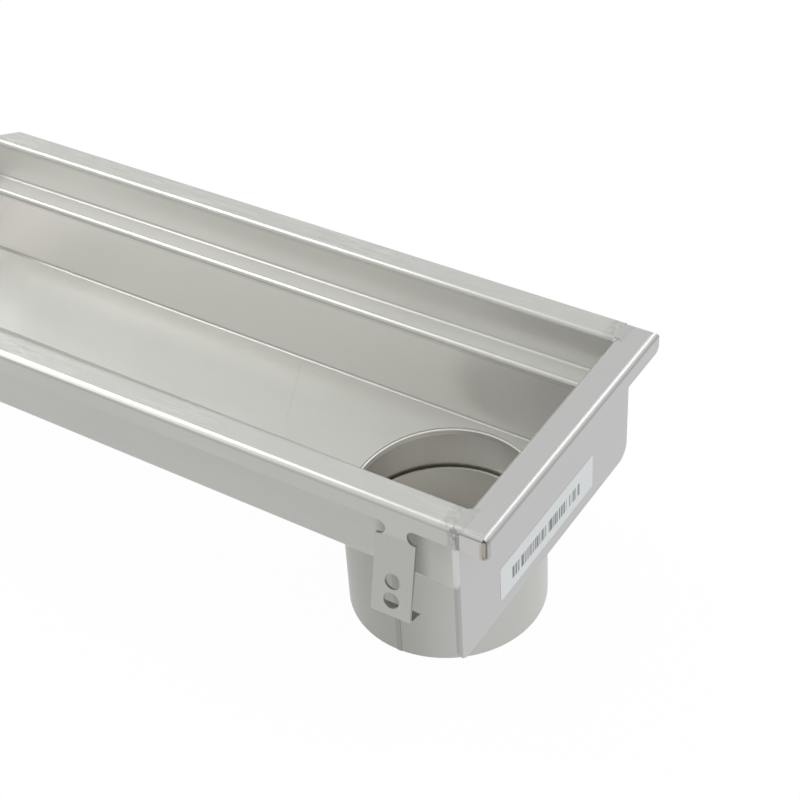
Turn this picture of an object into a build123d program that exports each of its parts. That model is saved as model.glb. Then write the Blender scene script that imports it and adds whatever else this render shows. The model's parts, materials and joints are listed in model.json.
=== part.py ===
"""Channel drain of folded stainless sheet with a vertical outlet near one end.

Units are millimetres. +X runs along the channel towards the outlet end, +Y across it and +Z up.
The origin lies on the outlet's axis, level with the top of the flanges.
"""

import math
import os

from build123d import *

# Sheet and bends
sheet = 1.5
plate_sheet = 2.0
bend_radius = 1.5
plate_bend_radius = 2.0

# Outlet spigot, whose lower end is sized to fit a pipe socket
spigot_radius = 55.0
spigot_wall = 1.5
spigot_reach = 63.5
sized_end_length = 58.0
neck_taper = 0.1

# Section across the channel, from the spigot outwards
spigot_side_gap = 3.5
ledge_width = 14.5
flange_width = 17.0
rebate_depth = 25.5
lip_depth = 12.5

# Floor of the trough: it falls towards the outlet and towards the middle of the channel
foot_depth_at_outlet = 75.0
floor_fall = 0.011
vee_depth = 6.5

# Length, with the end plate placed from the spigot
total_length = 458.0
spigot_end_gap = 6.0
end_flange_width = 18.5
clip_offset = 6.0

# Outlet end plate
plate_below_floor = 9.5
plate_corner_radius = 9.0
corner_gap = 0.5
near_end_inset = 1.5
end_lip_rounding = 4.0

# Blank end plate
blank_margin = 2.0

# Ring inside the spigot
ring_rise = 13.5
ring_length = 28.0
ring_clearance = 1.5
ring_wall = 1.5

# Anchor tabs under the lips
tab_x = 30.0
tab_width = 22.5
tab_length = 53.0
tab_lean_degrees = 12.0
tab_neck = 12.0
tab_neck_length = 8.0
tab_return = 9.2
tab_hole_radius = 4.5
tab_hole_pitch = 11.1
tab_hole_margin = 9.4

# Welds
bead = 2.0
seam_x = 2.5
seam_width = 3.0
seam_height = 0.2
outlet_bead_depth = 3.6
outlet_bead_width = 1.5
outlet_bead_recess = 0.4

# Cutters pass the metal that they cut by this much
cutter_margin = 2.0
tab_cutter_length = 12.0

# Values that follow from the ones above
half_trough = spigot_radius + spigot_side_gap
half_rebate = half_trough + ledge_width
half_width = half_rebate + flange_width
lowest_floor_depth = foot_depth_at_outlet + vee_depth
spigot_bottom_depth = lowest_floor_depth + spigot_reach
plate_depth = lowest_floor_depth + plate_below_floor
plate_inner_x = spigot_radius + spigot_end_gap
flange_end_x = plate_inner_x + end_flange_width
body_start_x = flange_end_x - total_length + plate_sheet
body_length = plate_inner_x - body_start_x
plate_outer_x = plate_inner_x + plate_sheet
outer_bend = bend_radius + sheet
plate_outer_bend = plate_bend_radius + plate_sheet
side_lip_start_x = plate_inner_x + plate_outer_bend
end_bend_x = flange_end_x - plate_outer_bend
side_lip_end_x = flange_end_x - plate_sheet - corner_gap
vee_slope = vee_depth / half_trough
vee_stretch = math.sqrt(1 + vee_slope**2)
join_depth = rebate_depth + sheet + 2 * outer_bend
spigot_inner_radius = spigot_radius - spigot_wall
neck_radius = spigot_radius - neck_taper
sized_end_top_depth = spigot_bottom_depth - sized_end_length
tab_lean = math.radians(tab_lean_degrees)
tab_bend_depth = lip_depth + tab_neck_length / 2


def floor_height(x, y):
    """Height of the trough's inner floor surface at a point in plan."""
    foot_depth = foot_depth_at_outlet + floor_fall * x
    return -(foot_depth + vee_depth) + vee_slope * abs(y)


def folded_strip(points, radius, thickness):
    """Cross-section of sheet folded along a mid-surface path, drawn flat."""
    path = FilletPolyline(*points, radius=radius + thickness / 2)
    left = offset(path, thickness / 2, side=Side.LEFT, closed=False)
    right = offset(path, thickness / 2, side=Side.RIGHT, closed=False)
    caps = []
    for end in (0, 1):
        sideways = (path % end).rotate(Axis.Z, 90) * (thickness / 2)
        caps.append(Line(path @ end + sideways, path @ end - sideways).edge())
    edges = left.edges() + right.edges() + caps
    return make_face(edges)


def upright(sketch, x):
    """Stand a sketch drawn in the XY plane up in the YZ plane at a distance along the channel."""
    return Plane.YZ.offset(x) * sketch


def sheared(face, length, fall):
    """Extrude a YZ face along the channel while it sinks by a fall per unit length."""
    return Solid.extrude(face, Vector(length, 0, -fall * length))


def tube(outer, inner, bottom, top):
    """Upright tube on the outlet's axis between two heights."""
    wall = Circle(outer) - Circle(inner)
    return Pos(0, 0, bottom) * extrude(wall, top - bottom)


def box_between(low, high):
    """Box from its low corner to its high corner."""
    size = Vector(*high) - Vector(*low)
    return Pos(*low) * Box(size.X, size.Y, size.Z, align=(Align.MIN, Align.MIN, Align.MIN))


def section_outline(x, grow, top):
    """Filled outline of the channel's outer faces at a place along it, widened by a margin."""
    wall = half_rebate + sheet + grow
    lower = half_trough + sheet + grow
    ledge = -(rebate_depth + sheet + grow)
    drop = (sheet + grow) * vee_stretch
    foot = floor_height(x, lower) - drop
    middle = floor_height(x, 0) - drop
    right = [(wall, top), (wall, ledge), (lower, ledge), (lower, foot)]
    left = [(-y, z) for y, z in reversed(right)]
    outline = make_face(Polyline(*right, (0, middle), *left, close=True))
    at_ledge = [v for v in outline.vertices() if abs(v.Y - ledge) < bend_radius]
    inward = [v for v in at_ledge if abs(v.X) < (wall + lower) / 2]
    return fillet(inward, bend_radius)


def trough_fill(drop):
    """Block that fills the trough down to its floor surface, moved down by a distance."""
    x = body_start_x
    foot = floor_height(x, half_trough)
    right = [(half_trough, 0), (half_trough, foot)]
    left = [(-half_trough, foot), (-half_trough, 0)]
    face = make_face(Polyline(*right, (0, floor_height(x, 0)), *left, close=True))
    block = sheared(upright(face, x).face(), body_length, floor_fall)
    return Pos(0, 0, -drop) * block


def upper_half():
    """Level part of one side: lip, flange, upper wall, grate ledge and the wall's start."""
    lip_y = half_width - sheet / 2
    wall_y = half_rebate + sheet / 2
    lower_y = half_trough + sheet / 2
    ledge_z = -rebate_depth - sheet / 2
    points = [
        (lip_y, -lip_depth),
        (lip_y, -sheet / 2),
        (wall_y, -sheet / 2),
        (wall_y, ledge_z),
        (lower_y, ledge_z),
        (lower_y, -join_depth),
    ]
    strip = upright(folded_strip(points, bend_radius, sheet), body_start_x)
    return extrude(strip, body_length)


def trough():
    """Lower walls and the shallow vee floor, which sink towards the outlet."""
    x = body_start_x
    wall_y = half_trough + sheet / 2
    drop = sheet / 2 * vee_stretch
    foot = floor_height(x, wall_y) - drop
    middle = floor_height(x, 0) - drop
    top = -join_depth + floor_fall * body_length + bend_radius
    points = [(wall_y, top), (wall_y, foot), (0, middle), (-wall_y, foot), (-wall_y, top)]
    strip = upright(folded_strip(points, bend_radius, sheet), x)
    folded = sheared(strip.face(), body_length, floor_fall)
    keep = box_between(
        (x - cutter_margin, -half_width, -spigot_bottom_depth),
        (plate_inner_x + cutter_margin, half_width, -join_depth),
    )
    return folded & keep


def anchor_tab():
    """Tab folded down from the near lip: narrow neck, lean outwards, two holes and a return."""
    lip_y = -(half_width - sheet / 2)
    leaning = tab_length - tab_neck_length / 2
    end_y = lip_y - leaning * math.sin(tab_lean)
    end_z = -tab_bend_depth - leaning * math.cos(tab_lean)
    points = [
        (lip_y, -lip_depth),
        (lip_y, -tab_bend_depth),
        (end_y, end_z),
        (end_y + tab_return * math.cos(tab_lean), end_z - tab_return * math.sin(tab_lean)),
    ]
    strip = upright(folded_strip(points, bend_radius, sheet), tab_x - tab_width / 2)
    tab = extrude(strip, tab_width)
    notch_radius = tab_neck_length / 2
    for side in (-1, 1):
        centre_x = tab_x + side * (tab_neck / 2 + notch_radius)
        across = Pos(centre_x, lip_y, -tab_bend_depth) * Rot(90, 0, 0)
        tab -= across * Cylinder(notch_radius, tab_cutter_length)
        edge_x = centre_x + side * notch_radius
        tab -= Pos((centre_x + edge_x) / 2, lip_y, -tab_bend_depth) * Box(
            notch_radius, tab_cutter_length, tab_neck_length
        )
    for index in (0, 1):
        down = leaning - tab_hole_margin - index * tab_hole_pitch
        hole_y = lip_y - down * math.sin(tab_lean)
        hole_z = -tab_bend_depth - down * math.cos(tab_lean)
        place = Pos(tab_x, hole_y, hole_z) * Rot(90 - tab_lean_degrees, 0, 0)
        tab -= place * Cylinder(tab_hole_radius, tab_cutter_length / 2)
    return tab


def flange_clip():
    """Wedge that clips one flange and its lip at 45 degrees at the blank end."""
    wall = half_rebate + sheet
    reach = half_width - wall
    clip_x = body_start_x + clip_offset
    outline = Polyline(
        (body_start_x - cutter_margin, wall),
        (clip_x, wall),
        (clip_x + reach + cutter_margin, half_width + cutter_margin),
        (body_start_x - cutter_margin, half_width + cutter_margin),
        close=True,
    )
    wedge = extrude(make_face(outline), lip_depth + 2 * cutter_margin)
    return Pos(0, 0, -lip_depth - cutter_margin) * wedge


def channel_body():
    """Whole folded channel: flanges, lips, tabs, walls, ledges and floor with its outlet hole."""
    half = upper_half()
    tab = anchor_tab()
    body = half + mirror(half, Plane.XZ) + trough() + tab + mirror(tab, Plane.XZ)
    clip = flange_clip()
    body -= clip
    body -= mirror(clip, Plane.XZ)
    hole = Pos(0, 0, -spigot_bottom_depth) * Cylinder(
        spigot_inner_radius,
        spigot_bottom_depth - rebate_depth,
        align=(Align.CENTER, Align.CENTER, Align.MIN),
    )
    return body - hole


def rounded_block():
    """Block over the whole end plate whose upper corners are rounded like the side lips."""
    outline = RectangleRounded(2 * half_width, 2 * plate_depth, plate_outer_bend)
    start = plate_inner_x
    return extrude(upright(Pos(0, -plate_depth) * outline, start), flange_end_x - start)


def outlet_end_plate():
    """End plate whose top folds out into a flange with an end lip and two short side lips."""
    mid = plate_sheet / 2
    radius = plate_bend_radius
    reach = half_width - plate_outer_bend
    end_points = [
        (plate_inner_x + mid, -plate_depth),
        (plate_inner_x + mid, -mid),
        (flange_end_x - mid, -mid),
        (flange_end_x - mid, -lip_depth),
    ]
    side_points = [
        (-half_width + mid, -lip_depth),
        (-half_width + mid, -mid),
        (half_width - mid, -mid),
        (half_width - mid, -lip_depth),
    ]
    profile = folded_strip(end_points, radius, plate_sheet)
    across = Plane.XZ.offset(-half_width) * profile
    folded = extrude(across, 2 * half_width)
    folded &= rounded_block()
    near_end_y = -(half_width - near_end_inset)
    folded -= box_between(
        (side_lip_end_x, -half_width, -lip_depth),
        (flange_end_x, near_end_y, 0),
    )
    side_strip = folded_strip(side_points, radius, plate_sheet)
    side_flange = extrude(upright(side_strip, side_lip_start_x), end_bend_x - side_lip_start_x)
    side_run = extrude(upright(side_strip, end_bend_x), side_lip_end_x - end_bend_x)
    for side in (-1, 1):
        edge_y = side * half_width
        bend_y = side * reach
        folded -= box_between(
            (plate_outer_x, min(bend_y, edge_y), -lip_depth),
            (side_lip_end_x, max(bend_y, edge_y), 0),
        )
        corner = box_between(
            (end_bend_x, min(bend_y, edge_y), -lip_depth),
            (side_lip_end_x, max(bend_y, edge_y), 0),
        )
        side_flange += side_run & corner
    plate = folded + side_flange
    lower = plate.edges().filter_by(Axis.X).group_by(Axis.Z)[0]
    plate = fillet(lower, plate_corner_radius)
    far_tip = (flange_end_x, half_width, -lip_depth)
    tip = plate.edges().filter_by(Axis.X).sort_by_distance(far_tip)[0]
    return fillet(tip, end_lip_rounding)


def blank_end_plate():
    """Flat plate that closes the far end, a little larger than the section it is welded to."""
    face = upright(section_outline(body_start_x, blank_margin, 0), body_start_x - plate_sheet)
    return extrude(face, plate_sheet)


def spigot_core():
    """Solid inside of the spigot's outer face: a sized lower end and a slightly drawn-in neck."""
    bottom = -spigot_bottom_depth
    up = (Align.CENTER, Align.CENTER, Align.MIN)
    sized = Pos(0, 0, bottom) * Cylinder(spigot_radius, sized_end_length, align=up)
    neck_length = sized_end_top_depth - rebate_depth
    neck = Cone(spigot_radius, neck_radius, neck_length, align=up)
    return sized + Pos(0, 0, -sized_end_top_depth) * neck


def outlet_spigot():
    """Round outlet pipe, cut at the top to the underside of the vee floor."""
    bore = Pos(0, 0, -spigot_bottom_depth) * Cylinder(
        spigot_inner_radius,
        spigot_bottom_depth - rebate_depth,
        align=(Align.CENTER, Align.CENTER, Align.MIN),
    )
    return spigot_core() - bore - trough_fill(sheet * vee_stretch)


def trap_ring():
    """Ring inside the spigot with a small foot that meets the spigot's wall."""
    outer = spigot_inner_radius - ring_clearance
    inner = outer - ring_wall
    bottom = ring_rise - spigot_bottom_depth
    top = bottom + ring_length
    sleeve = tube(outer, inner, bottom, top)
    foot = tube(spigot_inner_radius, inner, bottom, bottom + ring_wall)
    return sleeve + foot


def outlet_inner_weld():
    """Bead inside the outlet hole that covers the floor's cut edge."""
    wall = tube(
        spigot_inner_radius,
        spigot_inner_radius - outlet_bead_width,
        -spigot_bottom_depth,
        -rebate_depth,
    )
    return (wall & trough_fill(outlet_bead_depth)) - trough_fill(outlet_bead_recess)


def outlet_outer_weld():
    """Bead round the spigot under the trough's floor."""
    wall = tube(spigot_radius + bead, neck_radius - bead, -sized_end_top_depth, -rebate_depth)
    underside = sheet * vee_stretch
    return (wall & trough_fill(underside + bead)) - trough_fill(underside) - spigot_core()


def spigot_seam_weld():
    """Upright seam with a flat top on the near side of the rolled spigot."""
    turn = math.degrees(math.asin(seam_x / spigot_radius))
    strip = box_between(
        (-seam_width / 2, -spigot_radius - seam_height, -spigot_bottom_depth),
        (seam_width / 2, 0, -rebate_depth),
    )
    bead_strip = Rot(0, 0, turn) * strip - spigot_core()
    return bead_strip - trough_fill(sheet * vee_stretch + bead)


def section_weld(x, direction):
    """Bead round the outside of the channel where it meets an end plate."""
    start = x if direction > 0 else x - bead
    top = -outer_bend
    ring = section_outline(start, bead, top) - section_outline(start, 0, bead)
    return sheared(upright(ring, start).face(), bead, floor_fall)


def flange_weld():
    """Filler between a flange's end and the end plate, wrapped round the corner to the lip."""
    corner_y = half_width - plate_outer_bend
    low = (plate_inner_x, half_rebate + bend_radius, -plate_outer_bend)
    high = (side_lip_start_x, half_width, 0)
    roll = Pos(side_lip_start_x, corner_y, -plate_outer_bend) * Rot(90, 0, 0)
    groove = box_between(low, high) - roll * Cylinder(plate_outer_bend, 2 * half_width)
    corner = box_between((plate_outer_x, corner_y, -plate_outer_bend), high)
    return (groove + corner) & rounded_block()


def lip_weld():
    """Filler between the end plate's edge and the start of its short side lip."""
    low = (plate_outer_x, half_width - plate_sheet, -lip_depth)
    high = (side_lip_start_x, half_width, -plate_outer_bend)
    return box_between(low, high)


def mirrored(shape):
    """The same piece on the other side of the channel."""
    return mirror(shape, Plane.XZ)


pieces = {
    "channel_body": channel_body(),
    "outlet_end_plate": outlet_end_plate(),
    "blank_end_plate": blank_end_plate(),
    "outlet_spigot": outlet_spigot(),
    "trap_ring": trap_ring(),
    "outlet_inner_weld": outlet_inner_weld(),
    "outlet_outer_weld": outlet_outer_weld(),
    "spigot_seam_weld": spigot_seam_weld(),
    "end_plate_weld": section_weld(plate_inner_x, -1),
    "blank_end_weld": section_weld(body_start_x, 1),
    "flange_weld_far": flange_weld(),
    "flange_weld_near": mirrored(flange_weld()),
    "lip_weld_far": lip_weld(),
    "lip_weld_near": mirrored(lip_weld()),
}

os.makedirs("parts", exist_ok=True)
for name, shape in pieces.items():
    export_step(shape, f"parts/{name}.step")
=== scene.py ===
"""Looks of the channel drain: satin and brushed sheet, welds, a paper strip and a plain studio."""

import json
import logging
import math
from dataclasses import dataclass
from enum import Enum
from typing import Any, Dict, List, Optional, Tuple, Union

import bmesh
import bpy
from mathutils import Matrix, Vector

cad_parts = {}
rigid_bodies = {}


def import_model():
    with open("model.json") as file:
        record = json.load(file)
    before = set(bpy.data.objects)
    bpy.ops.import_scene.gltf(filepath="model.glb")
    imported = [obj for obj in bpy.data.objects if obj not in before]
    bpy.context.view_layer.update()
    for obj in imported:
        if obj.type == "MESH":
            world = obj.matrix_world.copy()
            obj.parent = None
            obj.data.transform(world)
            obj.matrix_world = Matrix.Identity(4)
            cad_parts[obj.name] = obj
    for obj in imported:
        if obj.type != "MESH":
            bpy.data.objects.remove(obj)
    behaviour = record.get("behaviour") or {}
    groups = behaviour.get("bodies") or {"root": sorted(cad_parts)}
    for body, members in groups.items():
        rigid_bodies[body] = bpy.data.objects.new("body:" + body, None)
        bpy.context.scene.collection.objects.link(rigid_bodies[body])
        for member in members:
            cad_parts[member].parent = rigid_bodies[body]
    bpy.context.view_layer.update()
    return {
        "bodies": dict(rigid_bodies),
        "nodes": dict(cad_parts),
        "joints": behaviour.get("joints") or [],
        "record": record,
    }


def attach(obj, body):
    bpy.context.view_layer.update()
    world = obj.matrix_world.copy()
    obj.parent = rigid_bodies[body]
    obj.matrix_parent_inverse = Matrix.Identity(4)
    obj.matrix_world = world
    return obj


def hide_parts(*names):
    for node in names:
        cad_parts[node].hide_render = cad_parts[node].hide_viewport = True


log = logging.getLogger("channel_drain")

MILLIMETRE = 0.001
ROOT = "root"

# The object's own sizes in millimetres: the end plate's inner face, the depth where the lower
# walls meet the trough's floor above the outlet, and how much that depth grows per millimetre.
JOINT_X = 61.0
FOOT_DEPTH = 75.0
FLOOR_FALL = 0.011

Colour = Tuple[float, float, float]
Triple = Tuple[float, float, float]
Span = Tuple[float, float]


class Side(Enum):
    """The two sides of the channel, by the sign of Y."""

    NEAR = -1
    FAR = 1

    @property
    def label(self) -> str:
        """The side's name as the pieces' names spell it."""
        return self.name.lower()


class Grain(Enum):
    """How a sheet was finished, as the stretch of its scratches along X, Y and Z."""

    MILL = (0.5, 0.5, 0.5)
    LENGTHWISE = (0.1, 1.9, 1.9)
    CROSSWISE = (1.9, 0.1, 1.9)
    ROUND = (0.35, 0.35, 2.2)


class Cells(Enum):
    """How fine a cloudy noise is, as cells per millimetre along X, Y and Z."""

    SHEET_CLOUDS = (0.012, 0.03, 0.03)
    TUBE_CLOUDS = (0.03, 0.03, 0.02)
    LUMPS = (0.35, 0.35, 0.35)
    WELD_LUMPS = (0.7, 0.7, 0.7)
    WELD_GRIT = (3.0, 3.0, 3.0)
    PAPER_FIBRE = (1.2, 1.2, 1.2)


class Signal:
    """A number that changes over a surface, with the usual arithmetic."""

    def __init__(self, recipe: "Recipe", socket: bpy.types.NodeSocket) -> None:
        """Wrap a socket.

        Args:
            recipe: The material that the socket belongs to.
            socket: The output socket that carries the number.
        """
        self.recipe = recipe
        self.socket = socket

    def _maths(self, operation: str, first: "Number", second: "Number") -> "Signal":
        """Add one Math node.

        Args:
            operation: Blender's name of the sum.
            first: The first number.
            second: The second number.

        Returns:
            The sum's result.
        """
        made = self.recipe.node("ShaderNodeMath", {"operation": operation}, {0: first, 1: second})
        return Signal(self.recipe, made.outputs[0])

    def __add__(self, other: "Number") -> "Signal":
        """Sum."""
        return self._maths("ADD", self, other)

    def __radd__(self, other: "Number") -> "Signal":
        """Sum with the number first."""
        return self._maths("ADD", other, self)

    def __sub__(self, other: "Number") -> "Signal":
        """Difference."""
        return self._maths("SUBTRACT", self, other)

    def __rsub__(self, other: "Number") -> "Signal":
        """Difference with the number first."""
        return self._maths("SUBTRACT", other, self)

    def __mul__(self, other: "Number") -> "Signal":
        """Product."""
        return self._maths("MULTIPLY", self, other)

    def __rmul__(self, other: "Number") -> "Signal":
        """Product with the number first."""
        return self._maths("MULTIPLY", other, self)

    def __truediv__(self, other: "Number") -> "Signal":
        """Quotient."""
        return self._maths("DIVIDE", self, other)

    def __abs__(self) -> "Signal":
        """Size without the sign."""
        return self._maths("ABSOLUTE", self, 0.0)

    def __gt__(self, other: "Number") -> "Signal":
        """One where this is the larger."""
        return self._maths("GREATER_THAN", self, other)

    def __lt__(self, other: "Number") -> "Signal":
        """One where this is the smaller."""
        return self._maths("LESS_THAN", self, other)

    def rise(self, low: float, high: float) -> "Signal":
        """Turn a range into a smooth step.

        Args:
            low: Where the step is still nought.
            high: Where the step has reached one.

        Returns:
            A signal from nought to one.
        """
        made = self.recipe.node(
            "ShaderNodeMapRange",
            {"interpolation_type": "SMOOTHSTEP"},
            {"Value": self, "From Min": low, "From Max": high, "To Min": 0.0, "To Max": 1.0},
        )
        return Signal(self.recipe, made.outputs["Result"])

    def band(self, low: float, high: float, soft: float) -> "Signal":
        """One inside a range and nought outside it, with soft ends.

        Args:
            low: Lower end of the range.
            high: Upper end of the range.
            soft: Width of each end.

        Returns:
            A signal from nought to one.
        """
        return self.rise(low - soft, low + soft) * (1.0 - self.rise(high - soft, high + soft))


Number = Union[float, Signal]


class NodeTree:
    """The nodes of a material or of the world while they are being written."""

    def __init__(self, tree: bpy.types.NodeTree) -> None:
        """Empty a tree.

        Args:
            tree: The tree that takes the nodes.
        """
        self.tree = tree
        self.tree.nodes.clear()

    def node(
        self,
        kind: str,
        settings: Optional[Dict[str, Any]] = None,
        inputs: Optional[Dict[Union[int, str], Any]] = None,
    ) -> bpy.types.Node:
        """Add a node.

        Args:
            kind: The node's type.
            settings: Properties to set first.
            inputs: Values or links by socket name or number.

        Returns:
            The node.
        """
        made = self.tree.nodes.new(kind)
        for key, value in (settings or {}).items():
            setattr(made, key, value)
        for key, value in (inputs or {}).items():
            socket = made.inputs[key]
            if isinstance(value, Signal):
                self.tree.links.new(value.socket, socket)
            elif isinstance(value, bpy.types.NodeSocket):
                self.tree.links.new(value, socket)
            else:
                socket.default_value = value
        return made


class Recipe(NodeTree):
    """A material's node tree while it is being written."""

    def __init__(self, name: str) -> None:
        """Start an empty material.

        Args:
            name: The material's name.
        """
        self.material = bpy.data.materials.new(name)
        self.material.use_nodes = True
        super().__init__(self.material.node_tree)
        self.output = self.node("ShaderNodeOutputMaterial")
        self.place = self.node("ShaderNodeTexCoord")

    def stretched(self, stretch: Triple) -> bpy.types.NodeSocket:
        """Object coordinates in millimetres, multiplied per axis.

        Args:
            stretch: Factor along X, Y and Z.

        Returns:
            The vector's socket.
        """
        scale = tuple(factor / MILLIMETRE for factor in stretch)
        made = self.node(
            "ShaderNodeMapping",
            {"vector_type": "POINT"},
            {"Vector": self.place.outputs["Object"], "Scale": scale},
        )
        return made.outputs["Vector"]

    def axes(self) -> Tuple[Signal, Signal, Signal]:
        """Object coordinates in millimetres as three numbers."""
        made = self.node("ShaderNodeSeparateXYZ", inputs={0: self.stretched((1.0, 1.0, 1.0))})
        return tuple(Signal(self, made.outputs[index]) for index in range(3))

    def noise(self, stretch: Triple, detail: float = 3.0, rough: float = 0.55) -> Signal:
        """Cloudy noise between nought and one.

        Args:
            stretch: Cells per millimetre along X, Y and Z.
            detail: How many finer layers it has.
            rough: How strong the finer layers are.

        Returns:
            The noise.
        """
        made = self.node(
            "ShaderNodeTexNoise",
            {"noise_dimensions": "3D"},
            {
                "Vector": self.stretched(stretch),
                "Scale": 1.0,
                "Detail": detail,
                "Roughness": rough,
            },
        )
        return Signal(self, made.outputs["Fac"])

    def mix(
        self, factor: Number, low: Union[Colour, bpy.types.NodeSocket], high: Colour
    ) -> bpy.types.NodeSocket:
        """Lay a colour over another.

        Args:
            factor: How much of the upper colour there is.
            low: The colour underneath, as a value or a link.
            high: The colour on top.

        Returns:
            The colour's socket.
        """
        under = low if isinstance(low, bpy.types.NodeSocket) else (*low, 1.0)
        made = self.node(
            "ShaderNodeMix",
            {"data_type": "RGBA", "clamp_factor": True},
            {0: factor, 6: under, 7: (*high, 1.0)},
        )
        return made.outputs[2]

    def bump(self, height: Signal, depth: float) -> bpy.types.NodeSocket:
        """Turn a height into a normal.

        Args:
            height: The height, from nought to one.
            depth: What one stands for, in millimetres.

        Returns:
            The normal's socket.
        """
        made = self.node(
            "ShaderNodeBump",
            inputs={"Strength": 1.0, "Distance": depth * MILLIMETRE, "Height": height},
        )
        return made.outputs["Normal"]

    def finish(self, inputs: Dict[Union[int, str], Any]) -> bpy.types.Material:
        """Close the material with a Principled shader.

        Args:
            inputs: Values or links of the shader's sockets.

        Returns:
            The material.
        """
        shader = self.node("ShaderNodeBsdfPrincipled", inputs=inputs)
        self.tree.links.new(shader.outputs["BSDF"], self.output.inputs["Surface"])
        return self.material


@dataclass(frozen=True)
class Zone:
    """A strip of sheet that is lighter, darker or duller than the rest, mostly painted light and
    painted shade.

    Its place is given by distance from the middle plane, height and place along the channel, in
    millimetres. Its amount changes towards the outlet if a second amount is given.
    """

    aside: Span
    up: Span
    shade: Colour
    amount: float
    amount_at_outlet: Optional[float] = None
    along: Span = (-400.0, 100.0)
    side: Optional[Side] = None
    soft: float = 0.25
    along_soft: float = 0.25
    dullness: float = 0.0
    ragged: bool = False
    above_foot: Optional[float] = None
    foot_soft: float = 0.4
    frayed: Span = (0.34, 0.64)
    frayed_least: float = 0.2
    change_along: Span = (-260.0, 60.0)

    def mask(self, along: Signal, across: Signal, up: Signal, lumps: Signal) -> Signal:
        """Where the zone is, and how strong.

        Args:
            along: Place along the channel.
            across: Place across the channel.
            up: Height.
            lumps: Noise that frays a ragged zone.

        Returns:
            A signal from nought to the zone's amount.
        """
        place = abs(across).band(*self.aside, self.soft) * up.band(*self.up, self.soft)
        place = place * along.band(*self.along, self.along_soft)
        if self.above_foot is not None:
            clearance = up + along * FLOOR_FALL + FOOT_DEPTH - self.above_foot
            place = place * clearance.rise(-self.foot_soft, self.foot_soft)
        if self.ragged:
            holes = lumps.rise(*self.frayed) * (1.0 - self.frayed_least)
            place = place * (holes + self.frayed_least)
        if self.side:
            place = place * (across * float(self.side.value) > 0.0)
        if self.amount_at_outlet is None:
            return place * self.amount
        change = self.amount_at_outlet - self.amount
        return place * (self.amount + along.rise(*self.change_along) * change)


def near_zone(*place: Any, **choices: Any) -> Zone:
    """Make a zone that lies on the near side alone."""
    return Zone(*place, side=Side.NEAR, **choices)


def smear(aside: Span, up: Span, amount: float, along: Span, along_soft: float) -> Zone:
    """Make a dark ragged zone beside a weld.

    Args:
        aside: Its distance from the middle plane.
        up: Its height.
        amount: How strong it is.
        along: Its place along the channel.
        along_soft: How far its ends fade.

    Returns:
        The zone.
    """
    return Zone(aside, up, PAINTED_SHADE_AND_SMEAR, amount, along=along, along_soft=along_soft, ragged=True)


@dataclass(frozen=True)
class SheetFinish:
    """Rolled stainless sheet, brushed above a height, with zones of painted light and painted
    shade.
    """

    name: str
    shade: Colour
    deep: Colour
    roughness: float
    metallic: float
    grain: Grain
    zones: Tuple[Zone, ...] = ()
    contrast: float = 0.9
    brushed_above: float = 10.0
    brushed_fade: Span = (-0.6, 0.2)
    scratch: float = 0.0012
    fine_share: float = 0.65
    long_factor: float = 0.3
    patchy: Span = (0.36, 0.62)
    patchy_least: float = 0.2
    even_along: Span = (-240.0, 30.0)
    evenness: float = 0.6
    crease: Optional[Tuple[Span, Span]] = None
    crease_amount: float = 0.35
    crease_darkness: float = 0.55
    crease_depth: float = 6.0
    crease_half_width: float = 0.25
    crease_soft: float = 0.2
    crease_end_soft: float = 2.0
    crease_below: float = -60.0

    def material(self) -> bpy.types.Material:
        """Write the sheet's material."""
        recipe = Recipe(self.name)
        along, across, up = recipe.axes()
        clouds = recipe.noise(Cells.SHEET_CLOUDS.value)
        mill = recipe.noise(Grain.MILL.value, 4.0, 0.6)
        lumps = recipe.noise(Cells.LUMPS.value, 3.0, 0.5)
        streaks = recipe.noise(self.grain.value, 4.0, 0.62)
        longer = tuple(factor * self.long_factor for factor in self.grain.value)
        long_streaks = recipe.noise(longer, 2.0)
        brushed = up.rise(*(self.brushed_above + fade for fade in self.brushed_fade))
        line = streaks * self.fine_share + long_streaks * (1.0 - self.fine_share)
        uneven = 1.0 - along.rise(*self.even_along) * self.evenness
        patches = clouds.rise(*self.patchy) * (1.0 - self.patchy_least) + self.patchy_least
        patches = patches * uneven
        tone = clouds * 0.4 + mill * 0.1 + (line - 0.5) * brushed * patches * self.contrast + 0.25
        colour = recipe.mix(tone, self.deep, self.shade)
        rough = self.roughness + (clouds - 0.5) * 0.05 + (line - 0.5) * brushed * 0.06
        for zone in self.zones:
            mask = zone.mask(along, across, up, lumps)
            colour = recipe.mix(mask, colour, zone.shade)
            if zone.dullness:
                rough = rough + mask * zone.dullness
        height = mill * (1.0 - brushed) * 0.35 + line * brushed
        # The crease: painted shade along the floor's fold, with a dent
        if self.crease:
            mark = self.crease_mark(along, across, up)
            crease_shade = tuple(self.crease_darkness * part for part in self.shade)
            colour = recipe.mix(mark * self.crease_amount, colour, crease_shade)
            height = height - mark * self.crease_depth
        return recipe.finish(
            {
                "Base Color": colour,
                "Metallic": self.metallic,
                "Roughness": rough,
                "Normal": recipe.bump(height, self.scratch),
            }
        )

    def crease_mark(self, along: Signal, across: Signal, up: Signal) -> Signal:
        """A thin straight line on the trough's floor where it folds, which carries painted shade.

        Args:
            along: Place along the channel.
            across: Place across the channel.
            up: Height.

        Returns:
            One on the mark and nought elsewhere.
        """
        (x0, y0), (x1, y1) = self.crease
        length = math.hypot(x1 - x0, y1 - y0)
        step_x, step_y = (x1 - x0) / length, (y1 - y0) / length
        forward = (along - x0) * step_x + (across - y0) * step_y
        aside = (along - x0) * step_y - (across - y0) * step_x
        thin = aside.band(-self.crease_half_width, self.crease_half_width, self.crease_soft)
        return thin * forward.band(0.0, length, self.crease_end_soft) * (up < self.crease_below)


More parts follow.
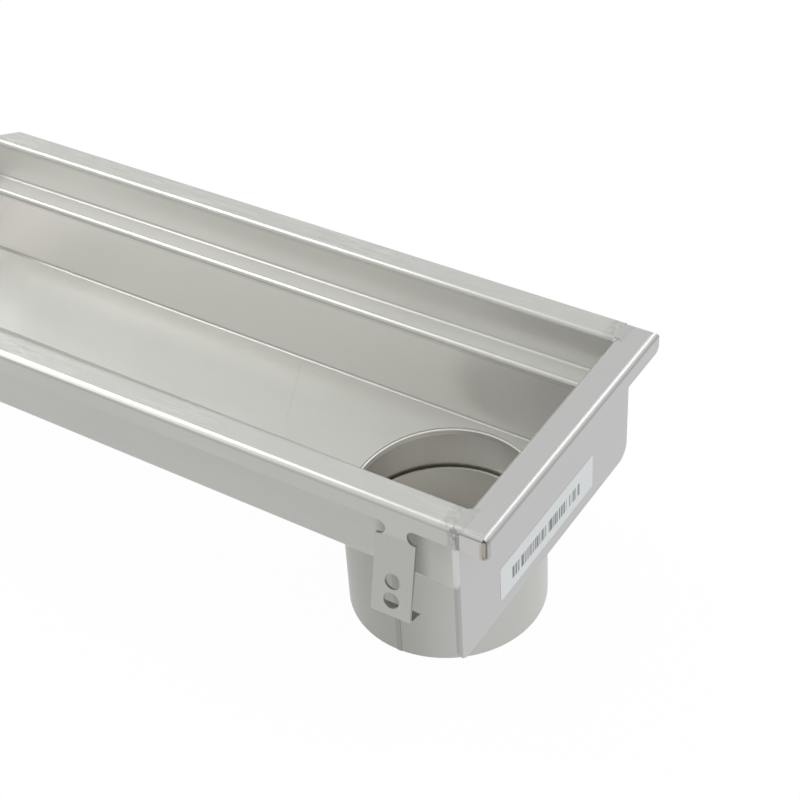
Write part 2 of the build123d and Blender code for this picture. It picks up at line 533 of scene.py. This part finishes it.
@dataclass(frozen=True)
class TubeFinish:
    """Rolled tube with faint upright variation, painted shade on its near left side, and a warmer
    bore with painted shade, and painted light on part of it where given.
    """

    name: str
    shade: Colour
    deep: Colour
    roughness: float
    metallic: float
    inside: Colour
    bore_radius: float
    lit_inside: Optional[Colour] = None
    lit_along: Span = (-38.0, 4.0)
    painted_shade_amount: float = 0.0
    painted_shade_colour: Colour = (0.3, 0.3, 0.275)
    painted_shade_along: Span = (0.0, 44.0)
    painted_shade_across: Span = (30.0, -10.0)
    hoop_share: float = 0.3
    hoop_depth: float = 0.003

    def material(self) -> bpy.types.Material:
        """Write the tube's material."""
        recipe = Recipe(self.name)
        along, across, _ = recipe.axes()
        clouds = recipe.noise(Cells.TUBE_CLOUDS.value)
        hoops = recipe.noise(Grain.ROUND.value, 4.0, 0.6)
        tone = clouds * (1.0 - self.hoop_share) + hoops * self.hoop_share
        colour = recipe.mix(tone, self.deep, self.shade)
        # Painted shade on the spigot's near left side, fading out towards +X and towards the far
        # side
        painted_shade_half = (1.0 - along.rise(*self.painted_shade_along)) * across.rise(*self.painted_shade_across)
        colour = recipe.mix(painted_shade_half * self.painted_shade_amount, colour, self.painted_shade_colour)
        # The bore gets its own warmer colour with painted shade, and painted light towards +X
        # where lit_inside is given
        bore = (along * along + across * across) < self.bore_radius**2
        colour = recipe.mix(bore, colour, self.inside)
        if self.lit_inside:
            colour = recipe.mix(bore * along.rise(*self.lit_along), colour, self.lit_inside)
        return recipe.finish(
            {
                "Base Color": colour,
                "Metallic": self.metallic,
                "Roughness": self.roughness + (clouds - 0.5) * 0.1,
                "Normal": recipe.bump(hoops, self.hoop_depth),
            }
        )


@dataclass(frozen=True)
class WeldFinish:
    """Weld metal, left as laid or dressed with a grinder."""

    name: str
    shade: Colour
    deep: Colour
    roughness: float
    metallic: float
    lumps: float
    low_shade: Optional[Colour] = None
    low_from: Span = (-1.2, -2.4)
    low_amount: float = 0.75
    low_broken: Span = (0.3, 0.6)
    grit_share: float = 0.3
    grit_height: float = 0.2

    def material(self) -> bpy.types.Material:
        """Write the weld's material."""
        recipe = Recipe(self.name)
        _, _, up = recipe.axes()
        lumps = recipe.noise(Cells.WELD_LUMPS.value)
        grit = recipe.noise(Cells.WELD_GRIT.value, 2.0)
        tone = lumps * (1.0 - self.grit_share) + grit * self.grit_share
        height = lumps * (1.0 - self.grit_height) + grit * self.grit_height
        colour = recipe.mix(tone, self.deep, self.shade)
        if self.low_shade:
            sooty = up.rise(*self.low_from) * lumps.rise(*self.low_broken)
            colour = recipe.mix(sooty * self.low_amount, colour, self.low_shade)
        return recipe.finish(
            {
                "Base Color": colour,
                "Metallic": self.metallic,
                "Roughness": self.roughness + (lumps - 0.5) * 0.2,
                "Normal": recipe.bump(height, self.lumps),
            }
        )


@dataclass(frozen=True)
class PaperFinish:
    """Pale coated paper with plain dark bars that stand for print."""

    name: str
    paper: Colour
    ink: Colour
    bars_across: Span
    bars_up: Span
    bars_soft: float = 0.05
    wide_cell: float = 0.9
    wide_bare: float = 0.62
    fine_cell: float = 0.45
    fine_bare: float = 0.58
    roughness: float = 0.42
    fibre_shade: float = 0.97
    fibre_depth: float = 0.01

    def material(self) -> bpy.types.Material:
        """Write the paper's material."""
        recipe = Recipe(self.name)
        _, across, up = recipe.axes()
        fibre = recipe.noise(Cells.PAPER_FIBRE.value)
        wide_bar = self.cells(recipe, across, self.wide_cell) > self.wide_bare
        fine_bar = self.cells(recipe, across, self.fine_cell) > self.fine_bare
        inked = (wide_bar + fine_bar) > 0.5
        printed = across.band(*self.bars_across, self.bars_soft)
        printed = printed * up.band(*self.bars_up, self.bars_soft)
        fibre_dark = tuple(self.fibre_shade * part for part in self.paper)
        colour = recipe.mix(fibre, fibre_dark, self.paper)
        colour = recipe.mix(inked * printed, colour, self.ink)
        return recipe.finish(
            {
                "Base Color": colour,
                "Metallic": 0.0,
                "Roughness": self.roughness + fibre * 0.1,
                "Normal": recipe.bump(fibre, self.fibre_depth),
            }
        )

    def cells(self, recipe: Recipe, across: Signal, width: float) -> Signal:
        """Give each cell of a row a value of its own.

        Args:
            recipe: The material.
            across: Place across the channel.
            width: A cell's width in millimetres.

        Returns:
            A signal from nought to one.
        """
        count = recipe.node("ShaderNodeMath", {"operation": "FLOOR"}, {0: across / width})
        made = recipe.node(
            "ShaderNodeTexWhiteNoise", {"noise_dimensions": "1D"}, {"W": count.outputs[0]}
        )
        return Signal(recipe, made.outputs["Value"])


@dataclass(frozen=True)
class BackdropFinish:
    """White floor that shows as plain white and keeps a soft shadow."""

    name: str
    albedo: float
    glow: float
    dark_radius: float

    def material(self) -> bpy.types.Material:
        """Write the floor's material."""
        recipe = Recipe(self.name)
        path = recipe.node("ShaderNodeLightPath")
        seen = (
            Signal(recipe, path.outputs["Is Camera Ray"])
            + Signal(recipe, path.outputs["Is Glossy Ray"])
            + Signal(recipe, path.outputs["Is Transmission Ray"])
        )
        along, across, _ = recipe.axes()
        outside = (along * along + across * across) > self.dark_radius**2
        matt = recipe.node(
            "ShaderNodeBsdfDiffuse", inputs={"Color": (self.albedo, self.albedo, self.albedo, 1.0)}
        )
        white = recipe.node(
            "ShaderNodeEmission", inputs={"Color": (1.0, 1.0, 1.0, 1.0), "Strength": 1.0}
        )
        mixed = recipe.node(
            "ShaderNodeMixShader",
            inputs={0: seen * outside * self.glow, 1: matt.outputs[0], 2: white.outputs[0]},
        )
        recipe.tree.links.new(mixed.outputs[0], recipe.output.inputs["Surface"])
        return recipe.material


# Painted light, laid on sheet where the lamps leave it darker than wanted, and as painted
# highlights on bends
PAINTED_LIGHT = (0.93, 0.92, 0.885)
# Stronger painted light for the lower walls, the floor's blank end and the near flange's inner
# bend
STRONG_PAINTED_LIGHT = (0.985, 0.97, 0.93)
# Painted shade and painted shadows, and also the real dark smears beside the welds
PAINTED_SHADE_AND_SMEAR = (0.22, 0.22, 0.21)
HEAT_TINT = (0.37, 0.32, 0.26)
# Bluish painted shade on the end lip's cut end face
PAINTED_SHADE_BLUISH = (0.24, 0.26, 0.29)
LIP_BEIGE = (0.54, 0.53, 0.505)
# Mirror-bright painted light for the blank plate's inner face
PAINTED_MIRROR_LIGHT = (0.97, 0.97, 0.96)

CHANNEL_SHEET = SheetFinish(
    name="channel_satin_sheet",
    shade=(0.54, 0.545, 0.515),
    deep=(0.38, 0.384, 0.358),
    roughness=0.34,
    metallic=0.6,
    grain=Grain.LENGTHWISE,
    contrast=4.4,
    brushed_above=-1.0,
    crease=((-129.0, 53.0), (-109.0, 8.0)),
    zones=(
        # Inner faces of the upper walls, and their bends at the ledge and at the flange, lightened
        # with painted light
        Zone((60.0, 73.7), (-24.0, -4.3), PAINTED_LIGHT, 0.62, 0.36, soft=0.5),
        Zone((71.3, 73.3), (-25.7, -23.8), PAINTED_LIGHT, 0.12, soft=0.3, dullness=0.14),
        Zone((72.9, 74.25), (-4.6, -2.5), PAINTED_LIGHT, 0.6, 0.4),
        # Inner faces of the lower walls, with the ledge's bend, lightened with painted light, and
        # painted shade on the darker part by the outlet
        Zone((58.3, 59.6), (-30.4, -28.1), STRONG_PAINTED_LIGHT, 0.8, 0.5),
        Zone((58.2, 59.3), (-90.0, -30.0), STRONG_PAINTED_LIGHT, 1.0, 0.8, soft=0.5, above_foot=1.1),
        Zone((58.2, 59.3), (-90.0, -29.0), PAINTED_SHADE_AND_SMEAR, 0.28, along=(18.0, 90.0), along_soft=26.0),
        # Ledges and the floor's blank end lightened with painted light, and painted shade on the
        # floor's near half
        Zone((61.5, 71.8), (-26.2, -24.6), PAINTED_LIGHT, 0.32, 0.34),
        Zone((-9.0, 57.0), (-90.0, -60.0), STRONG_PAINTED_LIGHT, 0.9, along=(-430.0, -344.0), along_soft=30.0),
        Zone((-50.0, 34.0), (-90.0, -60.0), PAINTED_SHADE_AND_SMEAR, 0.24, 0.0, soft=24.0),
        # Tabs with painted shade, and the near wall's outside with painted light, painted shade at
        # its bend under the ledge and a painted shadow beside the tab
        Zone((90.6, 101.0), (-75.0, -13.0), PAINTED_SHADE_AND_SMEAR, 0.2),
        near_zone((59.8, 60.6), (-90.0, -29.0), PAINTED_LIGHT, 0.4, along=(44.0, 64.0), along_soft=14.0),
        near_zone((59.8, 76.0), (-30.0, -24.4), PAINTED_SHADE_AND_SMEAR, 0.95, soft=0.4, dullness=0.3),
        near_zone((58.0, 76.0), (-74.0, -10.0), PAINTED_SHADE_AND_SMEAR, 0.95, along=(0.0, 25.0), along_soft=5.5),
        # The near flange's two bends: painted light on the inner bend, a painted highlight on the
        # outer bend and painted shade under it
        near_zone((72.9, 74.8), (-4.2, -0.8), STRONG_PAINTED_LIGHT, 1.0),
        near_zone((87.4, 90.4), (-1.6, 0.3), PAINTED_LIGHT, 0.9, 0.15),
        near_zone((88.4, 90.4), (-3.5, -2.2), PAINTED_SHADE_AND_SMEAR, 0.32, 0.3),
        # Smears beside the welds at the corners
        smear((86.0, 91.0), (-13.0, -2.0), 0.5, (58.5, 62.0), 1.0),
        smear((72.0, 91.0), (-1.5, 1.0), 0.32, (54.5, 62.0), 1.2),
    ),
)
END_SHEET = SheetFinish(
    name="end_plate_satin_sheet",
    shade=(0.515, 0.517, 0.512),
    deep=(0.46, 0.462, 0.458),
    roughness=0.32,
    metallic=0.8,
    grain=Grain.CROSSWISE,
    contrast=1.2,
    brushed_above=-1.0,
    scratch=0.0006,
    zones=(
        # Top of the flange, painted a little darker
        Zone((-9.0, 95.0), (-0.6, 1.0), PAINTED_SHADE_AND_SMEAR, 0.13),
        # Near side lip with its tone, painted shade at its bend, the heat tint at its free end and
        # bluish painted shade on the end face beyond
        near_zone((88.4, 90.5), (-15.0, -2.0), LIP_BEIGE, 0.7, along=(64.0, 78.0)),
        near_zone((87.6, 90.5), (-2.3, -1.5), PAINTED_SHADE_AND_SMEAR, 0.75, along=(60.0, 80.0)),
        near_zone((85.0, 90.5), (-14.0, -3.0), HEAT_TINT, 0.5, along=(75.7, 77.2), along_soft=0.6),
        near_zone((86.0, 90.5), (-15.0, -1.5), PAINTED_SHADE_BLUISH, 0.45, along=(77.2, 80.0)),
        # Smears beside the welds at the corners
        smear((86.0, 91.0), (-13.0, -2.0), 0.75, (60.0, 64.2), 0.8),
        smear((72.0, 91.0), (-1.5, 1.0), 0.26, (60.0, 66.5), 1.0),
        # The plate's near cut edge with painted light above and painted shade below, and painted
        # shade under the end lip's bend
        near_zone((87.4, 91.0), (-37.0, -13.5), PAINTED_LIGHT, 0.2, along=(60.0, 63.5)),
        near_zone((87.4, 91.0), (-92.0, -38.5), PAINTED_SHADE_AND_SMEAR, 0.5, along=(60.0, 63.5)),
        Zone((-9.0, 95.0), (-3.4, -2.0), PAINTED_SHADE_AND_SMEAR, 0.45, along=(77.0, 80.0), soft=0.35),
    ),
)
BLANK_SHEET = SheetFinish(
    name="blank_plate_satin_sheet",
    shade=(0.52, 0.52, 0.51),
    deep=(0.47, 0.47, 0.46),
    roughness=0.32,
    metallic=1.0,
    grain=Grain.CROSSWISE,
    contrast=0.5,
    scratch=0.0006,
    zones=(
        # The inner face, made mirror-bright as painted light, so that the trough stays as light as
        # a longer one would be
        Zone(
            (-5.0, 100.0),
            (-100.0, 5.0),
            PAINTED_MIRROR_LIGHT,
            1.0,
            along=(-376.6, -370.0),
            along_soft=0.04,
            dullness=-0.16,
        ),
    ),
)
SPIGOT_TUBE = TubeFinish(
    name="spigot_satin_tube",
    shade=(0.53, 0.53, 0.51),
    deep=(0.48, 0.48, 0.46),
    roughness=0.34,
    metallic=0.8,
    inside=(0.49, 0.475, 0.425),
    bore_radius=54.2,
    lit_inside=(0.75, 0.745, 0.71),
    painted_shade_amount=0.8,
)
RING_TUBE = TubeFinish(
    name="ring_satin_tube",
    shade=(0.7, 0.69, 0.65),
    deep=(0.64, 0.63, 0.59),
    roughness=0.36,
    metallic=0.8,
    inside=(0.59, 0.575, 0.52),
    bore_radius=51.2,
)
RAW_WELD = WeldFinish("weld_as_laid", (0.46, 0.455, 0.44), (0.3, 0.3, 0.29), 0.45, 0.9, 0.2)
DRESSED_WELD = WeldFinish(
    "weld_dressed", (0.45, 0.452, 0.445), (0.38, 0.382, 0.376), 0.38, 0.7, 0.01, (0.2, 0.2, 0.19)
)
BORE_WELD = WeldFinish("weld_in_the_bore", (0.72, 0.71, 0.67), (0.6, 0.59, 0.55), 0.4, 0.8, 0.02)
CORNER_WELD = WeldFinish(
    "weld_at_corners", (0.42, 0.422, 0.41), (0.34, 0.342, 0.33), 0.6, 0.7, 0.05
)
SMEARED_WELD = WeldFinish(
    "weld_smeared", (0.38, 0.385, 0.355), (0.25, 0.255, 0.235), 0.5, 0.8, 0.12
)
TINTED_WELD = WeldFinish(
    "weld_heat_tinted", (0.45, 0.42, 0.36), (0.35, 0.33, 0.285), 0.45, 0.8, 0.05
)
STRIP_PAPER = PaperFinish(
    name="paper_strip",
    paper=(0.61, 0.64, 0.645),
    ink=(0.17, 0.18, 0.18),
    bars_across=(-38.0, 34.0),
    bars_up=(-76.5, -68.5),
)
FLOOR_WHITE = BackdropFinish("studio_floor", albedo=0.88, glow=0.975, dark_radius=54.0)


@dataclass
class Workshop:
    """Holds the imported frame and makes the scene's own pieces from it."""

    frame: Dict[str, Any]
    merge_distance: float = 0.002 * MILLIMETRE
    flat_angle: float = math.radians(0.3)
    sharp_angle: float = math.radians(40.0)
    round_steps: int = 2
    normal_weight: int = 100

    def smooth_copy(
        self,
        node: str,
        finish: bpy.types.Material,
        edge_round: float,
        flush_x: Optional[float] = None,
    ) -> bpy.types.Object:
        """Stand a copy of a node in its place, with rounded edges and even shading.

        Args:
            node: The node's name.
            finish: The copy's material.
            edge_round: Radius of the cut edges in millimetres.
            flush_x: Plane across the channel whose edges stay square, as the weld covers them.

        Returns:
            The piece.
        """
        mesh = bmesh.new()
        mesh.from_mesh(self.frame["nodes"][node].data)
        bmesh.ops.remove_doubles(mesh, verts=mesh.verts, dist=self.merge_distance)
        bmesh.ops.dissolve_limit(
            mesh, angle_limit=self.flat_angle, verts=mesh.verts, edges=mesh.edges
        )
        sharp = [
            edge
            for edge in mesh.edges
            if len(edge.link_faces) == 2 and edge.calc_face_angle(0.0) > self.sharp_angle
        ]
        square = [edge for edge in sharp if edge_round <= 0.0 or self.lies_on(edge, flush_x)]
        for edge in square:
            edge.smooth = False
        rounded = [edge for edge in sharp if edge.smooth]
        if rounded:
            bmesh.ops.bevel(
                mesh,
                geom=rounded,
                offset=edge_round * MILLIMETRE,
                offset_type="OFFSET",
                affect="EDGES",
                segments=self.round_steps,
                profile=0.5,
                clamp_overlap=True,
                material=-1,
            )
        piece = self.finished(mesh, f"{node}_dressed", finish)
        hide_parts(node)
        return piece

    def lies_on(self, edge: bmesh.types.BMEdge, flush_x: Optional[float]) -> bool:
        """Tell whether an edge lies on a plane across the channel.

        Args:
            edge: The edge.
            flush_x: The plane's place in millimetres, if there is one.

        Returns:
            True where both ends lie on it.
        """
        if flush_x is None:
            return False
        place = flush_x * MILLIMETRE
        return all(abs(vert.co.x - place) < self.merge_distance for vert in edge.verts)

    def finished(
        self, mesh: bmesh.types.BMesh, name: str, finish: bpy.types.Material
    ) -> bpy.types.Object:
        """Turn a mesh into a piece that rides on the object.

        Args:
            mesh: The mesh, in metres and in place.
            name: The piece's name.
            finish: The piece's material.

        Returns:
            The piece.
        """
        for face in mesh.faces:
            face.smooth = True
        data = bpy.data.meshes.new(name)
        mesh.to_mesh(data)
        mesh.free()
        data.materials.append(finish)
        piece = bpy.data.objects.new(name, data)
        bpy.context.scene.collection.objects.link(piece)
        even = piece.modifiers.new("even_shading", "WEIGHTED_NORMAL")
        even.weight = self.normal_weight
        even.keep_sharp = True
        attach(piece, ROOT)
        log.info("piece %s: %d faces", name, len(data.polygons))
        return piece


@dataclass
class ChannelTrough:
    """The folded body of the channel."""

    edge_round: float = 0.25

    def build(self, shop: Workshop) -> List[bpy.types.Object]:
        """Dress the channel's body.

        Args:
            shop: Makes the pieces.

        Returns:
            The pieces.
        """
        sheet = CHANNEL_SHEET.material()
        return [
            shop.smooth_copy("channel_body", sheet, self.edge_round, JOINT_X)
        ]


@dataclass(frozen=True)
class Drop:
    """A flattened ball of weld metal, by its middle and half sizes in millimetres."""

    middle: Triple
    size: Triple


@dataclass
class ChannelEnds:
    """The flanged plate at the outlet end and the plain plate at the other."""

    edge_round: float = 0.3
    weld_round: float = 0.2
    corner_drop: Drop = Drop((62.4, 74.8, -2.5), (2.9, 2.9, 2.35))
    lip_drop: Drop = Drop((61.3, 89.0, -2.1), (2.2, 1.05, 1.7))
    seam_x: float = 77.5
    seam_y: float = 88.95
    seam_top_z: float = -2.2
    seam_foot_z: float = -12.3
    seam_radius: float = 1.1
    seam_sides: int = 20
    drop_steps: int = 4

    def build(self, shop: Workshop) -> List[bpy.types.Object]:
        """Dress both end plates and their welds.

        Args:
            shop: Makes the pieces.

        Returns:
            The pieces.
        """
        sheet = END_SHEET.material()
        dressed = DRESSED_WELD.material()
        raw = RAW_WELD.material()
        tinted = TINTED_WELD.material()
        matt = CORNER_WELD.material()
        smeared = SMEARED_WELD.material()
        made = [
            shop.smooth_copy(
                "outlet_end_plate", sheet, self.edge_round, JOINT_X
            ),
            shop.smooth_copy(
                "blank_end_plate", BLANK_SHEET.material(), self.edge_round
            ),
            shop.smooth_copy("end_plate_weld", raw, self.weld_round),
            shop.smooth_copy("blank_end_weld", raw, self.weld_round),
        ]
        for side in Side:
            made.append(
                shop.smooth_copy(f"flange_weld_{side.label}", dressed, 0.0)
            )
            made.append(
                shop.smooth_copy(f"lip_weld_{side.label}", smeared, self.weld_round)
            )
            made.append(self.weld_drop(shop, side, "corner_filling", self.corner_drop, matt))
            made.append(self.corner_seam(shop, side, tinted))
        made.append(self.weld_drop(shop, Side.NEAR, "lip_filling", self.lip_drop, smeared))
        return made

    def weld_drop(
        self, shop: Workshop, side: Side, name: str, drop: Drop, finish: bpy.types.Material
    ) -> bpy.types.Object:
        """Make a drop of weld metal that fills the end of a joint.

        Args:
            shop: Makes the piece.
            side: The side of the channel.
            name: What the piece is called.
            drop: Where the drop is on the far side, and its size.
            finish: The weld's material.

        Returns:
            The piece.
        """
        along, across, up = drop.middle
        middle = Vector((along, side.value * across, up)) * MILLIMETRE
        size = Matrix.Diagonal((*(Vector(drop.size) * MILLIMETRE), 1.0))
        mesh = bmesh.new()
        bmesh.ops.create_icosphere(
            mesh,
            subdivisions=self.drop_steps,
            radius=1.0,
            matrix=Matrix.Translation(middle) @ size,
        )
        return shop.finished(mesh, f"{name}_{side.label}", finish)

    def corner_seam(
        self, shop: Workshop, side: Side, finish: bpy.types.Material
    ) -> bpy.types.Object:
        """Make the upright bead that closes a corner of the end lip.

        Args:
            shop: Makes the piece.
            side: The side of the channel.
            finish: The weld's material.

        Returns:
            The piece.
        """
        tall = self.seam_top_z - self.seam_foot_z
        middle = Vector((self.seam_x, side.value * self.seam_y, self.seam_foot_z + tall / 2))
        mesh = bmesh.new()
        bmesh.ops.create_cone(
            mesh,
            cap_ends=True,
            segments=self.seam_sides,
            radius1=self.seam_radius * MILLIMETRE,
            radius2=self.seam_radius * MILLIMETRE,
            depth=tall * MILLIMETRE,
            matrix=Matrix.Translation(middle * MILLIMETRE),
        )
        return shop.finished(mesh, f"corner_seam_{side.label}", finish)


@dataclass
class OutletPipe:
    """The spigot, the ring inside it and their welds."""

    edge_round: float = 0.25
    weld_round: float = 0.2
    seam_round: float = 0.1

    def build(self, shop: Workshop) -> List[bpy.types.Object]:
        """Dress the spigot, its ring and its welds.

        Args:
            shop: Makes the pieces.

        Returns:
            The pieces.
        """
        smooth = BORE_WELD.material()
        raw = RAW_WELD.material()
        tube = SPIGOT_TUBE.material()
        ring = RING_TUBE.material()
        seam = SMEARED_WELD.material()
        return [
            shop.smooth_copy("outlet_spigot", tube, self.edge_round),
            shop.smooth_copy("trap_ring", ring, self.edge_round),
            shop.smooth_copy("outlet_inner_weld", smooth, self.weld_round),
            shop.smooth_copy("outlet_outer_weld", raw, self.weld_round),
            shop.smooth_copy("spigot_seam_weld", seam, self.seam_round),
        ]


@dataclass
class PaperStrip:
    """The pale strip stuck to the outlet end plate."""

    face_x: float = 63.0
    thickness: float = 0.06
    from_y: float = -50.0
    to_y: float = 49.0
    low_z: float = -82.5
    high_z: float = -60.0
    corner_radius: float = 1.2
    corner_steps: int = 4

    def build(self, shop: Workshop) -> List[bpy.types.Object]:
        """Make the strip.

        Args:
            shop: Makes the pieces.

        Returns:
            The pieces.
        """
        size = Vector((self.thickness, self.to_y - self.from_y, self.high_z - self.low_z))
        middle = Vector(
            (
                self.face_x + self.thickness / 2,
                (self.from_y + self.to_y) / 2,
                (self.low_z + self.high_z) / 2,
            )
        )
        stretch = Matrix.Diagonal((*(size * MILLIMETRE), 1.0))
        mesh = bmesh.new()
        bmesh.ops.create_cube(
            mesh, size=1.0, matrix=Matrix.Translation(middle * MILLIMETRE) @ stretch
        )
        corners = [
            edge
            for edge in mesh.edges
            if abs(edge.verts[0].co.x - edge.verts[1].co.x) > shop.merge_distance
        ]
        bmesh.ops.bevel(
            mesh,
            geom=corners,
            offset=self.corner_radius * MILLIMETRE,
            offset_type="OFFSET",
            affect="EDGES",
            segments=self.corner_steps,
            profile=0.5,
            material=-1,
        )
        return [shop.finished(mesh, "paper_strip", STRIP_PAPER.material())]


@dataclass(frozen=True)
class Lamp:
    """A rectangular soft lamp, in metres and watts."""

    name: str
    at: Triple
    towards: Triple
    size: Span
    power: float

    def hang(self) -> None:
        """Put the lamp in the scene."""
        data = bpy.data.lights.new(self.name, "AREA")
        data.shape = "RECTANGLE"
        data.size, data.size_y = self.size
        data.energy = self.power
        made = bpy.data.objects.new(self.name, data)
        away = Vector(self.at) - Vector(self.towards)
        turned = away.to_track_quat("Z", "Y").to_matrix().to_4x4()
        made.matrix_world = Matrix.Translation(self.at) @ turned
        bpy.context.scene.collection.objects.link(made)


LAMPS = (
    Lamp("left_softbox", (-0.95, 0.0, 1.1), (-0.25, 0.0, -0.04), (0.8, 0.45), 7.5),
    Lamp("back_softbox", (0.75, 1.15, 1.0), (0.07, 0.0, 0.0), (0.5, 0.9), 4.0),
)


@dataclass
class Studio:
    """Camera, soft lamps, world and floor."""

    eye: Triple = (0.39135, -0.60667, 0.57922)
    azimuth: float = 124.4194
    elevation: float = 39.2568
    roll: float = -3.7686
    focal_pixels: float = 1830.95
    frame_pixels: float = 800.0
    sensor_width: float = 36.0
    clip_start: float = 0.05
    clip_end: float = 50.0
    floor_height: float = -0.145
    floor_gap: float = 0.0002
    floor_span: float = 8.0

    def build(self) -> None:
        """Set up the camera, the lamps, the world and the floor."""
        self.camera()
        self.floor()
        self.world()
        for lamp in LAMPS:
            lamp.hang()

    def camera(self) -> None:
        """Create the camera at the photograph's viewing angle."""
        turn, lift, roll = (math.radians(v) for v in (self.azimuth, self.elevation, self.roll))
        forward = Vector(
            (math.cos(lift) * math.cos(turn), math.cos(lift) * math.sin(turn), -math.sin(lift))
        )
        level = forward.cross(Vector((0.0, 0.0, 1.0))).normalized()
        above = level.cross(forward)
        right = level * math.cos(roll) + above * math.sin(roll)
        up = above * math.cos(roll) - level * math.sin(roll)
        turned = Matrix((right, up, -forward)).transposed().to_4x4()
        data = bpy.data.cameras.new("camera")
        data.sensor_width = self.sensor_width
        data.sensor_fit = "HORIZONTAL"
        data.lens = data.sensor_width * self.focal_pixels / self.frame_pixels
        data.clip_start = self.clip_start
        data.clip_end = self.clip_end
        made = bpy.data.objects.new("camera", data)
        made.matrix_world = Matrix.Translation(Vector(self.eye)) @ turned
        bpy.context.scene.collection.objects.link(made)
        bpy.context.scene.camera = made

    def floor(self) -> None:
        """Lay the floor under the spigot."""
        mesh = bmesh.new()
        bmesh.ops.create_grid(
            mesh,
            x_segments=1,
            y_segments=1,
            size=self.floor_span / 2,
            matrix=Matrix.Translation((0.0, 0.0, self.floor_height - self.floor_gap)),
        )
        data = bpy.data.meshes.new("studio_floor")
        mesh.to_mesh(data)
        mesh.free()
        data.materials.append(FLOOR_WHITE.material())
        made = bpy.data.objects.new("studio_floor", data)
        bpy.context.scene.collection.objects.link(made)

    def world(self) -> None:
        """Light the whole room evenly, and show it as white."""
        world = bpy.data.worlds.new("studio_world")
        world.use_nodes = True
        nodes = NodeTree(world.node_tree)
        white = nodes.node(
            "ShaderNodeBackground", inputs={"Color": (1.0, 1.0, 1.0, 1.0), "Strength": 1.0}
        )
        nodes.node("ShaderNodeOutputWorld", inputs={"Surface": white.outputs[0]})
        bpy.context.scene.world = world


def main() -> None:
    """Build the studio and dress the object, one sub-assembly after another."""
    logging.basicConfig(level=logging.INFO, format="%(message)s")
    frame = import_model()
    bpy.context.scene.view_settings.view_transform = "Standard"
    Studio().build()
    shop = Workshop(frame)
    for part in (ChannelTrough(), ChannelEnds(), OutletPipe(), PaperStrip()):
        for piece in part.build(shop):
            log.info("%s made %s", type(part).__name__, piece.name)
    bpy.context.view_layer.update()


if __name__ == "__main__":
    main()
